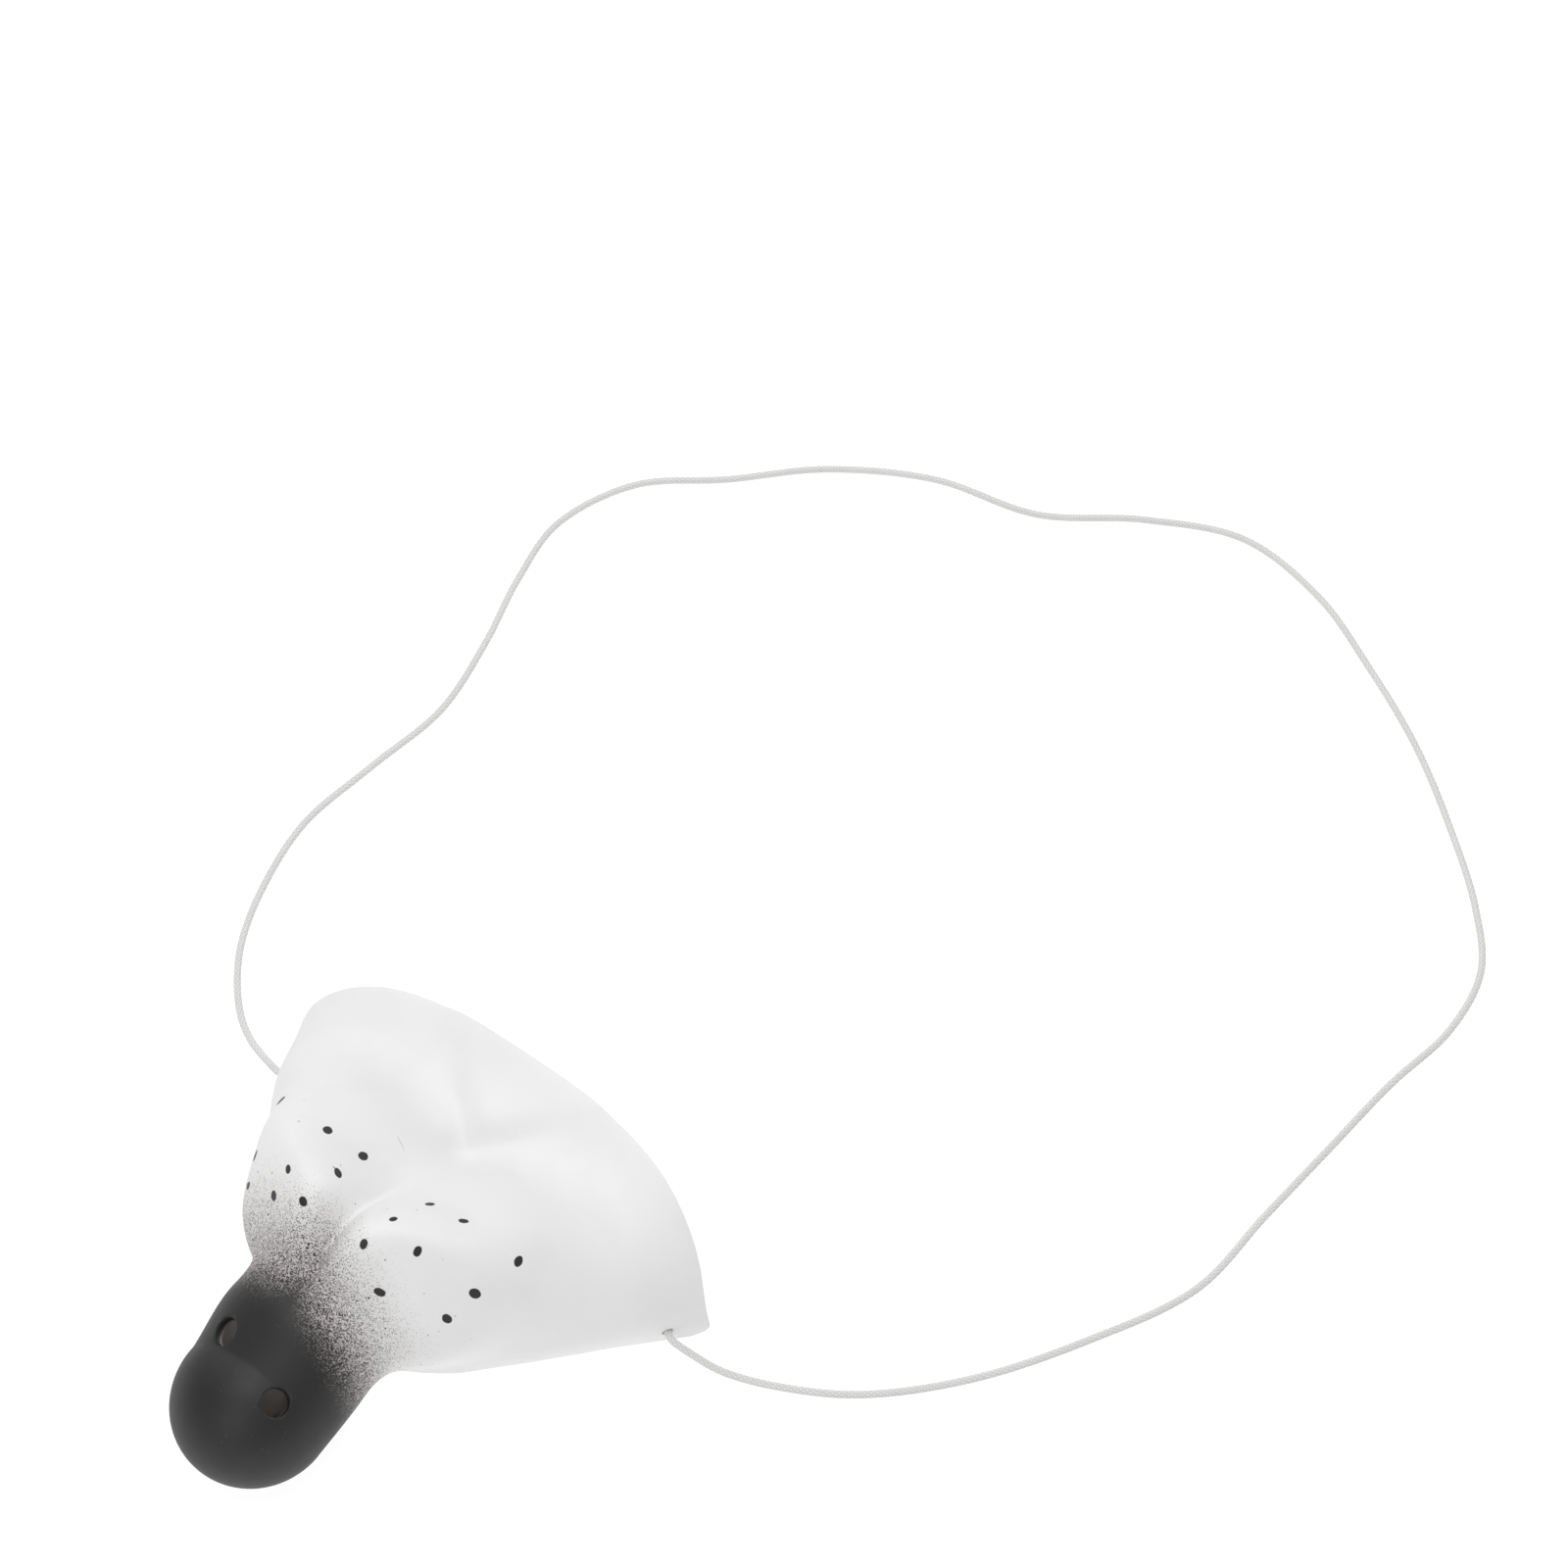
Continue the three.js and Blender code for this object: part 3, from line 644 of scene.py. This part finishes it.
def braid_tree():
    tree = bpy.data.node_groups.new("braided cover", "GeometryNodeTree")
    face = tree.interface
    face.new_socket("Geometry", in_out="INPUT", socket_type="NodeSocketGeometry")
    for name, value in (("Diameter", CORD_DIAMETER * MM), ("Stitch", STITCH * MM), ("Relief", RELIEF * MM)):
        face.new_socket(name, in_out="INPUT", socket_type="NodeSocketFloat").default_value = value
    for name, value in (("Yarns", YARNS), ("Sides", CORD_SIDES)):
        face.new_socket(name, in_out="INPUT", socket_type="NodeSocketInt").default_value = value
    face.new_socket("Material", in_out="INPUT", socket_type="NodeSocketMaterial")
    face.new_socket("Geometry", in_out="OUTPUT", socket_type="NodeSocketGeometry")
    given = tree.nodes.new("NodeGroupInput").outputs

    def maths(operation, a, b=None):
        inputs = {0: a} if b is None else {0: a, 1: b}
        return node(tree, "ShaderNodeMath", inputs, operation=operation).outputs[0]

    along = node(tree, "GeometryNodeSplineParameter")
    path = node(tree, "GeometryNodeCaptureAttribute", {"Geometry": given["Geometry"]})
    path.capture_items.new("FLOAT", "Along")
    tree.links.new(along.outputs["Length"], path.inputs["Along"])
    radius = maths("MULTIPLY", given["Diameter"], 0.5)
    circle = node(tree, "GeometryNodeCurvePrimitiveCircle", {"Resolution": given["Sides"], "Radius": radius})
    around = node(tree, "GeometryNodeCaptureAttribute", {"Geometry": circle.outputs["Curve"]})
    around.capture_items.new("FLOAT", "Around")
    tree.links.new(node(tree, "GeometryNodeSplineParameter").outputs["Factor"], around.inputs["Around"])
    sweep = node(tree, "GeometryNodeCurveToMesh", {
        "Curve": path.outputs["Geometry"],
        "Profile Curve": around.outputs["Geometry"],
        "Fill Caps": True,
    })

    turns = maths("MULTIPLY", around.outputs["Around"], given["Yarns"])
    rows = maths("DIVIDE", path.outputs["Along"], given["Stitch"])
    waves = []
    for phase in (maths("ADD", turns, rows), maths("SUBTRACT", turns, rows)):
        wave = maths("COSINE", maths("MULTIPLY", phase, 2 * math.pi))
        waves.append(maths("MULTIPLY_ADD", wave, 0.5))
        waves[-1].node.inputs[2].default_value = 0.5
    bump = maths("MULTIPLY", *waves)
    lift = maths("MULTIPLY", maths("SUBTRACT", bump, 0.5), given["Relief"])
    normal = node(tree, "GeometryNodeInputNormal").outputs["Normal"]
    offset = node(tree, "ShaderNodeVectorMath", {0: normal}, operation="SCALE")
    tree.links.new(lift, offset.inputs["Scale"])
    moved = node(tree, "GeometryNodeSetPosition", {
        "Geometry": sweep.outputs["Mesh"],
        "Offset": offset.outputs[0],
    })
    stored = moved.outputs["Geometry"]
    for name, value in (("stitch", bump), ("run", path.outputs["Along"])):
        inputs = {"Geometry": stored, "Name": name, "Value": value}
        store = node(tree, "GeometryNodeStoreNamedAttribute", inputs, data_type="FLOAT", domain="POINT")
        stored = store.outputs["Geometry"]
    smooth = node(tree, "GeometryNodeSetShadeSmooth", {"Geometry": stored, "Shade Smooth": True})
    real = node(tree, "GeometryNodeRealizeInstances", {"Geometry": smooth.outputs["Geometry"]})
    dressed = node(tree, "GeometryNodeSetMaterial", {
        "Geometry": real.outputs[0],
        "Material": given["Material"],
    })
    done = tree.nodes.new("NodeGroupOutput")
    tree.links.new(dressed.outputs["Geometry"], done.inputs["Geometry"])
    return tree


BRAID = braid_tree()


def set_inputs(modifier, **values):
    """Sets a modifier's inputs by the names in its tree."""
    for item in modifier.node_group.interface.items_tree:
        if item.item_type == "SOCKET" and item.in_out == "INPUT" and item.name in values:
            modifier[item.identifier] = values[item.name]


def braided(name, paths, material, diameter=CORD_DIAMETER * MM):
    """A plain mesh of the braided tube along each path of points in metres."""
    curve = bpy.data.curves.new(name, "CURVE")
    curve.dimensions = "3D"
    for path, closed in paths:
        spline = curve.splines.new("POLY")
        spline.points.add(len(path) - 1)
        spline.points.foreach_set("co", np.column_stack([path, np.ones(len(path))]).ravel())
        spline.use_cyclic_u = closed
    line = bpy.data.objects.new(name + "_line", curve)
    bpy.context.scene.collection.objects.link(line)
    modifier = line.modifiers.new("braid", "NODES")
    modifier.node_group = BRAID
    set_inputs(modifier, Diameter=diameter, Material=material)
    piece = bpy.data.objects.new(name, evaluated_mesh(line))
    bpy.context.scene.collection.objects.link(piece)
    bpy.data.objects.remove(line)
    print(name, len(piece.data.polygons), "faces")
    return piece


# %% [markdown]
# ## Materials
#
# A shader is a sum done for every point of a surface, so it is written as one: a small class wraps a
# socket, and plus, minus, times and the rest add the Math node that does them.

# %% Sockets as numbers


class Value:
    """A number that changes over the surface."""

    def __init__(self, shader, socket):
        self.shader = shader
        self.socket = socket

    def maths(self, operation, *others, **settings):
        return self.shader.add("ShaderNodeMath", self, *others, operation=operation, **settings)[0]

    def __add__(self, other):
        return self.maths("ADD", other)

    def __sub__(self, other):
        return self.maths("SUBTRACT", other)

    def __rsub__(self, other):
        return self.shader.add("ShaderNodeMath", other, self, operation="SUBTRACT")[0]

    def __mul__(self, other):
        return self.maths("MULTIPLY", other)

    __radd__ = __add__
    __rmul__ = __mul__

    def most(self, other):
        return self.maths("MAXIMUM", other)

    def ramp(self, low, high):
        """0 at low and 1 at high, smooth between, and clamped."""
        settings = {"interpolation_type": "SMOOTHSTEP"}
        return self.shader.add("ShaderNodeMapRange", self, low, high, 0, 1, **settings)[0]


class Shader:
    """A material's tree, with one method that adds any node."""

    def __init__(self, name):
        self.material = bpy.data.materials.new(name)
        self.material.use_nodes = True
        self.tree = self.material.node_tree
        self.surface = self.tree.nodes["Principled BSDF"]

    def add(self, kind, *values, named=(), **settings):
        """Adds a node. settings are set first, then the inputs in order and by name. Gives its outputs."""
        made = self.tree.nodes.new(kind)
        for key, value in settings.items():
            setattr(made, key, value)
        pairs = [*enumerate(values), *dict(named).items()]
        for key, value in pairs:
            if value is not None:
                self.put(made.inputs[key], value)
        return [Value(self, socket) for socket in made.outputs if socket.enabled]

    def put(self, socket, value):
        if isinstance(value, Value):
            self.tree.links.new(value.socket, socket)
        else:
            socket.default_value = value

    def mix(self, share, low, high):
        """A colour between two, by share."""
        return self.add("ShaderNodeMix", named={"Factor": share, 6: low, 7: high}, data_type="RGBA")[0]

    def place(self):
        """The point's own place in the frame, in metres."""
        return self.add("ShaderNodeTexCoord")[3]

    def set(self, **inputs):
        for key, value in inputs.items():
            self.put(self.surface.inputs[key.replace("_", " ")], value)
        return self.material


print("shader helpers ready")

# %% [markdown]
# ## Where the paint lands
#
# The snout was sprayed matte black from in front, with no mask round it, so the black thins out
# backwards into single droplets. How wet a place gets depends on how far forward it is, on how it faces
# and on how near it is to the crease, where more of the spray gathers. The left side got a little more
# than the right. That is worked out once for each point of the mesh and kept on it, for the material to
# read: wetness is 0 where half of the white is covered and goes up by 1 for each width of the spray's
# soft edge. Depth is 0 on the outer skin and 1 on the inner one, which has a painted shade, darker to the
# tip.

# %% Wetness and depth
SPRAY_EDGE = 51.4  # half of the white is covered this far forward, where the form is SPRAY_HEIGHT high
SPRAY_HEIGHT = 35
SPRAY_SOFTNESS = 6
LESS_TO_THE_RIGHT = 0.14
MORE_HIGHER_UP = 0.02
LESS_FACING_FORWARD = 0.56
MORE_IN_THE_CREASE = 4.6
SPRAYED_CREASE_WIDTH = 4


def keep(mesh, name, values):
    """Keeps a number for each point of a mesh."""
    mesh.attributes.new(name, "FLOAT", "POINT").data.foreach_set("value", np.asarray(values, np.float32))


def points_of(mesh):
    """The points of a mesh as x, s, h in millimetres."""
    points = np.empty(3 * len(mesh.vertices))
    mesh.vertices.foreach_get("co", points)
    points = points.reshape(-1, 3) / MM
    points[:, 1] = MIDDLE_S - points[:, 1]
    return points


def wetness_at(points):
    """How wet the spray leaves each point."""
    x, s, h = points.T
    facing_forward = outward(points)[:, 1]
    gain = MORE_HIGHER_UP * (h - SPRAY_HEIGHT) - LESS_TO_THE_RIGHT * x
    gain += MORE_IN_THE_CREASE * np.exp(-np.abs(x) / SPRAYED_CREASE_WIDTH)
    gain -= LESS_FACING_FORWARD * facing_forward
    return (s + gain - SPRAY_EDGE) / SPRAY_SOFTNESS


muzzle_points = points_of(muzzle.data)
wetness = wetness_at(muzzle_points)
keep(muzzle.data, "wetness", wetness)
keep(muzzle.data, "depth", np.clip(-form(muzzle_points) / WALL, 0, 1))
print(f"wetness from {wetness.min():.1f} to {wetness.max():.1f}")

# %% [markdown]
# ## The whisker dots
#
# Nine short dabs of a fine brush on each side. They are ovals, and an oval is drawn with two pins and a
# thread: its edge is where the distances to the pins add up to the thread. That costs two Distance nodes
# a dab and works on any curved surface. Each row gives how far forward the dab is, how many degrees
# round the form from straight up, how long it is, and how its long side is turned from straight ahead.

# %% Whisker dots
DAB_MIDDLE = 15  # height that the degrees are counted round
DAB_SHAPE = 0.72  # its width as a share of its length
DABS = (
    (27.3, 19.8, 2.1, 165),
    (36.7, 15.3, 1.8, 170),
    (26.9, 32.6, 2.1, 145),
    (43.7, 13.7, 2.1, 20),
    (38.3, 27.9, 2.1, 10),
    (25.1, 53.5, 2.5, 10),
    (46.5, 29.1, 2.4, 110),
    (35.3, 50.9, 2.7, 115),
    (41.1, 53.4, 2.4, 100),
    (26.6, -18.7, 2.7, 12),
    (34.6, -12.3, 2.5, 48),
    (27.4, -30.8, 2.7, 25),
    (43.7, -12.4, 2.2, 67),
    (39.5, -25.9, 2.1, 58),
    (22.6, -67.7, 2.9, 110),
    (43.6, -30.5, 2.5, 61),
    (36.8, -54.2, 2.6, 172),
    (41.8, -53.9, 2.3, 80),
)


def dab_pins(forward, round_by, length, turn):
    """The two pins of a dab, on the skin, and its thread, in metres."""
    round_by, turn = math.radians(round_by), math.radians(turn)
    place, normal = spot((0, forward, DAB_MIDDLE), (math.sin(round_by), 0, math.cos(round_by)))
    along = Vector((math.sin(turn), -math.cos(turn), 0))
    along.z = -along.dot(normal) / normal.z
    reach = along.normalized() * length / 2 * math.sqrt(1 - DAB_SHAPE**2) * MM
    return place - reach, place + reach, length * MM


dabs = [dab_pins(*row) for row in DABS]

SCRATCH = ((17.3, -23.5), (18.8, -15.3))  # how far forward each end is, and how many degrees round
SCRATCH_SLACK = 0.012  # how much longer than the scratch its thread is, which gives its width


def scratch_pins():
    """A hairline is a very thin oval."""
    ends = []
    for forward, round_by in SCRATCH:
        turn = math.radians(round_by)
        ends.append(spot((0, forward, DAB_MIDDLE), (math.sin(turn), 0, math.cos(turn)))[0])
    return ends[0], ends[1], (ends[1] - ends[0]).length + SCRATCH_SLACK * MM


scratch_ends = scratch_pins()
print("dabs:", len(dabs))

# %% [markdown]
# ## The shell's finish
#
# White plastic, a little glossy, with the fine unevenness of a thin moulding. On it lies the paint.
# Droplets come from Voronoi cells: each cell holds one droplet, and the wetter the place, the more cells
# have one and the wider they are, until they run together. Fine cells give the speckle and coarse ones
# the few stray drops far out.

# %% Shell material
SPECKLE = 0.18  # millimetres from droplet to droplet
STRAY = 1.3
WARP = 0.25  # how far a brushed edge wanders, in millimetres
WARP_SIZE = 1.1
BLEED = (-0.04, 0.14)  # where a dab's edge goes from nothing to black, in millimetres of thread
HAIRLINE = 0.008
HAIRLINE_SHARE = 0.5
SOLID_FROM, SOLID_AT = 1.3, 2.1  # wetness where the droplets run together
MIST_FROM, MIST_FULL, MIST_SHARE = -2, 1.1, 0.65
SHADE_SIZE = 14
DUST_SIZE = 0.9
DUST_PATCH = 3
DUST_SHARE = 0.6
PEEL_SIZE = 1.6
GLOSS_SIZE = 2.5
PLASTIC_ROUGHNESS = 0.46
BUMP_HEIGHT = 0.06
WHITE = (0.83, 0.83, 0.828, 1)
WHITE_SHADE = (0.815, 0.808, 0.808, 1)
MIST = (0.42, 0.36, 0.35, 1)
DROPLET = (0.030, 0.024, 0.022, 1)
BLACK = (0.0105, 0.0100, 0.0100, 1)
SMUDGE = (0.050, 0.043, 0.040, 1)
# the inner skin is the same white plastic with a painted shade: grey, and darker towards the tip
INSIDE_PAINTED_SHADE = (0.50, 0.48, 0.465, 1)
INSIDE_DARKER_AT_TIP = (0.28, 0.26, 0.25, 1)

shell = Shader("moulded plastic, sprayed and brushed")
place = shell.place()
wet = shell.add("ShaderNodeAttribute", attribute_name="wetness")[2]
depth = shell.add("ShaderNodeAttribute", attribute_name="depth")[2]


def noise(shader, place, size, detail=2, rough=0.5):
    """Smooth noise about size millimetres from blob to blob: its number and its colour."""
    return shader.add("ShaderNodeTexNoise", named={
        "Vector": place, "Scale": 1 / (size * MM), "Detail": detail, "Roughness": rough,
    })


def cells(shader, place, size):
    """Cells of about size millimetres: the distance to the middle of each, in cells, and its number."""
    made = shader.add("ShaderNodeTexVoronoi", named={"Vector": place, "Scale": 1 / (size * MM)})
    return made[0], shader.add("ShaderNodeSeparateColor", made[1])[0]


def droplets(size, per_wetness, at_edge, far, rare, edge):
    """One droplet a cell, less likely far from the cell's middle and where its number is high."""
    distance, chance = cells(shell, place, size)
    return (wet * per_wetness + at_edge - distance * far - chance * rare).ramp(*edge)


speckle = droplets(SPECKLE, per_wetness=0.26, at_edge=0.67, far=0.7, rare=0.8, edge=(-0.04, 0.06))
stray = droplets(STRAY, per_wetness=0.02, at_edge=0.15, far=0.6, rare=0.5, edge=(0, 0.02))
stray = stray * wet.ramp(-6, -3)
mist = wet.ramp(MIST_FROM, MIST_FULL) * MIST_SHARE

warp = (WARP * MM,) * 3
half_back = (-WARP / 2 * MM,) * 3
blobs = noise(shell, place, WARP_SIZE)[1]
wander = shell.add("ShaderNodeVectorMath", blobs, warp, half_back, operation="MULTIPLY_ADD")[0]
brushed = shell.add("ShaderNodeVectorMath", place, wander, operation="ADD")[0]


def thread_left(pins):
    """How much of the thread round two pins is left over, in metres: above zero inside the oval."""
    one, other, thread = pins
    for pin in (one, other):
        thread = thread - shell.add("ShaderNodeVectorMath", brushed, tuple(pin), operation="DISTANCE")[0]
    return thread


inside_dab = thread_left(dabs[0])
for pins in dabs[1:]:
    inside_dab = inside_dab.most(thread_left(pins))
dab = inside_dab.ramp(BLEED[0] * MM, BLEED[1] * MM)
scratch = thread_left(scratch_ends).ramp(0, HAIRLINE * MM) * HAIRLINE_SHARE

outside = depth.ramp(0.9, 0.6)
paint = speckle.most(stray).most(wet.ramp(SOLID_FROM, SOLID_AT)) * outside
shade = noise(shell, place, SHADE_SIZE, 3, 0.55)[0].ramp(0.42, 0.68)
base = shell.mix(shade, WHITE, WHITE_SHADE)
# painted shade on the inner skin, darker towards the tip
inner = shell.mix(wet.ramp(0.5, 3), INSIDE_PAINTED_SHADE, INSIDE_DARKER_AT_TIP)
base = shell.mix(mist, base, MIST)
base = shell.mix(wet.ramp(0.2, 1.8), base, SMUDGE)
base = shell.mix(depth.ramp(0.6, 0.9), base, inner)

grit = cells(shell, place, DUST_SIZE)[0].ramp(0.24, 0.1)
patches = noise(shell, place, DUST_PATCH)[0].ramp(0.53, 0.63)
dust = grit * patches * wet.ramp(1, 2)
ink = shell.mix(wet.ramp(0, 1.8), DROPLET, BLACK)
ink = shell.mix(dust * DUST_SHARE, ink, SMUDGE)
base = shell.mix(scratch * outside, base, MIST)
base = shell.mix(paint, base, ink)
base = shell.mix(dab * outside, base, BLACK)

dark = paint.most(dab * outside)
roughness = PLASTIC_ROUGHNESS + 0.1 * noise(shell, place, GLOSS_SIZE)[0] + dark * 0.04
peel = noise(shell, place, PEEL_SIZE)[0]
bump = shell.add("ShaderNodeBump", named={
    "Strength": 0.35,
    "Distance": BUMP_HEIGHT * MM,
    "Height": peel * 0.35 + paint * 0.25 + dab * 0.7 + dust * 0.8,
})[0]
shell.set(Base_Color=base, Roughness=roughness, Normal=bump)

muzzle.data.materials.clear()
muzzle.data.materials.append(shell.material)
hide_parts("muzzle_shell")
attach(muzzle, "root")
print("shell material:", len(shell.tree.nodes), "nodes")

# %% [markdown]
# ## The elastic's finish
#
# White covered elastic. The yarns of the braid are bright and dry, and the gaps between them get a
# painted shade, so the material reads the braid's own bumps, which the tree kept on the mesh.

# %% Elastic material
YARN = (0.90, 0.90, 0.895, 1)
DULL_YARN = (0.84, 0.84, 0.835, 1)
# painted shade in the gaps between the yarns
BRAID_GAP_SHADE = (0.62, 0.62, 0.61, 1)
FIBRE_SIZE = 0.35
FUZZ_HEIGHT = 0.05

elastic = Shader("white braided elastic")
stitch = elastic.add("ShaderNodeAttribute", attribute_name="stitch")[2]
elastic_place = elastic.place()
fibres = noise(elastic, elastic_place, FIBRE_SIZE, 3, 0.6)[0]
# 1 on the yarns, 0 in the gaps, which get the painted shade
unshaded_yarn = (stitch * 0.8 + fibres * 0.4).ramp(0.15, 0.95)
tone = noise(elastic, elastic_place, 25)[0].ramp(0.35, 0.65)
bright = elastic.mix(tone, YARN, DULL_YARN)
fuzz = elastic.add("ShaderNodeBump", named={
    "Strength": 0.5,
    "Distance": FUZZ_HEIGHT * MM,
    "Height": fibres,
})[0]
elastic.set(
    Base_Color=elastic.mix(unshaded_yarn, BRAID_GAP_SHADE, bright),
    Roughness=0.8 + 0.15 * fibres,
    Normal=fuzz,
    Sheen_Weight=0.3,
)

# %% The elastic and its knots
KNOT_DIAMETER = 4.8
KNOT_STRAND = 1.3
TIGHT_STRAND = 1.02  # what is left of the elastic's thickness where the knot is drawn tight
KNOT_TURNS = 96
FACE_GAP = 0.5
TAIL = 4.5
TAIL_STEP = 0.45


def knot_paths(side):
    """A trefoil loop drawn up round a straight strand that comes from the hole and ends in a short tail."""
    place, normal = cord_spots[side]
    loop = (KNOT_DIAMETER - TIGHT_STRAND) / 3
    half_thickness = (loop + TIGHT_STRAND) / 2
    middle = np.array(place) / MM - (WALL + FACE_GAP + half_thickness) * np.array(normal)
    turn = np.array(normal.to_track_quat("Z", "Y").to_matrix())
    t = np.linspace(0, 4 * math.pi, KNOT_TURNS, endpoint=False)
    wide = loop * (2 + np.cos(1.5 * t)) / 2
    ring = np.stack([wide * np.cos(t), wide * np.sin(t), loop * np.sin(1.5 * t) / 2], axis=1)
    k = np.arange(round(TAIL / TAIL_STEP) + 2)
    tail = np.stack([0.15 * k, 0.1 * k, half_thickness - 0.4 - TAIL_STEP * k], axis=1)
    return [((ring @ turn.T + middle) * MM, True), ((tail @ turn.T + middle) * MM, False)]


elastic_cord = braided("elastic", [(centreline, False)], elastic.material)
knots = {}
for side in ("left", "right"):
    knots[side] = braided(f"{side}_knot", knot_paths(side), elastic.material, KNOT_STRAND * MM)
    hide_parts(f"knot_{side}")
    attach(knots[side], "root")

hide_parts("elastic_cord")
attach(elastic_cord, "root")

# %% [markdown]
# ## Table and light
#
# The nose lies on a plain white table that is so bright that hardly a shadow shows, as on a light table.
# The table glows a little for that. Four large soft lights and a pale sky do the rest: most comes from
# above, and the snout side gets a little more than the others.

# %% Table and light
TABLE_SIZE = 6
TABLE_GREY = (0.2, 0.2, 0.2, 1)
TABLE_GLOW = 0.92
SKY = 0.35
LIGHT_WIDTH = 1.0
# name, place and power of each soft light
LIGHTS = (
    ("top", (0, 0.05, 1.5), 9.5),
    ("left", (-1.1, 0.3, 0.9), 3.6),
    ("back", (0.1, 1.2, 0.9), 3.8),
    ("front", (0.3, -1.2, 0.9), 4.6),
)

bpy.ops.mesh.primitive_plane_add(size=TABLE_SIZE, location=(0, 0, 0))
table = bpy.context.object
table.name = "table"
table_paint = Shader("white light table")
table_paint.set(
    Base_Color=TABLE_GREY,
    Roughness=0.9,
    Emission_Color=(1, 1, 1, 1),
    Emission_Strength=TABLE_GLOW,
)
table.data.materials.append(table_paint.material)

scene = bpy.context.scene
scene.view_settings.view_transform = "Standard"
world = bpy.data.worlds.new("studio")
scene.world = world
world.use_nodes = True
background = world.node_tree.nodes["Background"]
background.inputs["Color"].default_value = (1, 1, 1, 1)
background.inputs["Strength"].default_value = SKY


def softbox(name, place, power):
    """A round soft light that faces the nose."""
    light = bpy.data.lights.new(name, "AREA")
    light.shape = "DISK"
    light.size = LIGHT_WIDTH
    light.energy = power
    lamp = bpy.data.objects.new(name, light)
    lamp.location = place
    lamp.rotation_euler = Vector(place).to_track_quat("Z", "Y").to_euler()
    scene.collection.objects.link(lamp)


for row in LIGHTS:
    softbox(*row)
print("lights:", len(LIGHTS))
